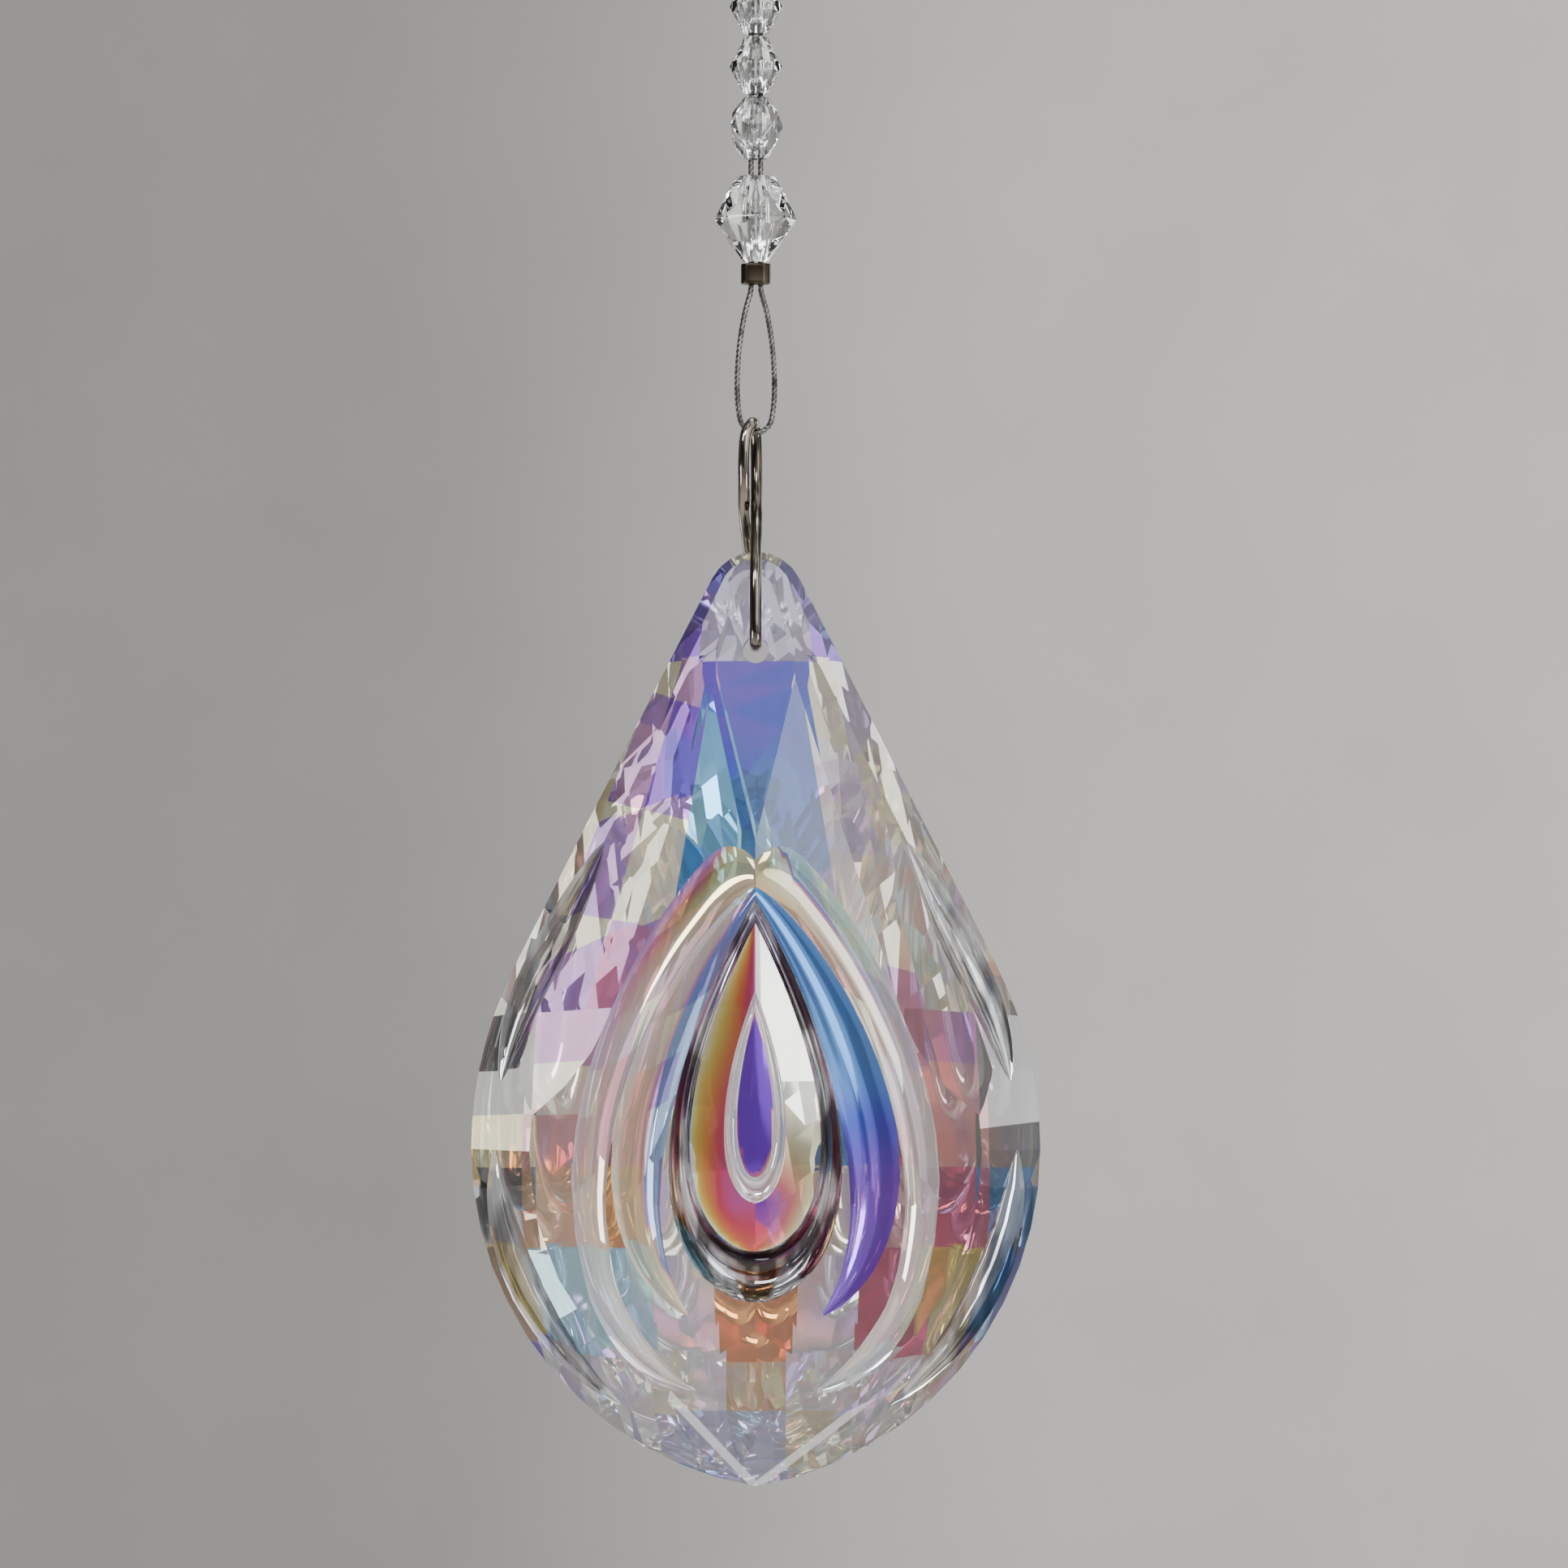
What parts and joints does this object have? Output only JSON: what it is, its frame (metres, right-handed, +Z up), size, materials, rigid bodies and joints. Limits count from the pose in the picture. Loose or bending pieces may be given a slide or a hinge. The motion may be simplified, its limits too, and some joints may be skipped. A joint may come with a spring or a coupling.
{
  "type": "crystal suncatcher",
  "caption": "Faceted glass drop with carved teardrop loops, hung by a bent wire pin from a short strand of clear beads on a doubled steel wire and a small ring.",
  "frame": {"origin": "the point inside the top of the hang ring that rests on a hook", "axes": "+Z up, -Y out of the carved front of the drop, +X to the viewer's right"},
  "size_m": [0.0464, 0.0188, 0.148],
  "materials": {
    "coated_crystal": "polished lead crystal with an iridescent coat on the back",
    "clear_bead": "clear polished cut glass",
    "nickel_wire": "bright nickel",
    "steel_wire": "stranded steel",
    "dark_crimp": "darkened, rubbed bright on its edges"
  },
  "bodies": {
    "root": {"hang_ring": "nickel_wire", "beading_wire": "steel_wire", "upper_crimp": "dark_crimp", "lower_crimp": "dark_crimp", "large_bead_upper": "clear_bead", "small_bead_3": "clear_bead", "small_bead_2": "clear_bead", "small_bead_1": "clear_bead", "large_bead_lower": "clear_bead", "hanger_pin": "nickel_wire", "crystal_pendant": "coated_crystal"}
  },
  "joints": []
}
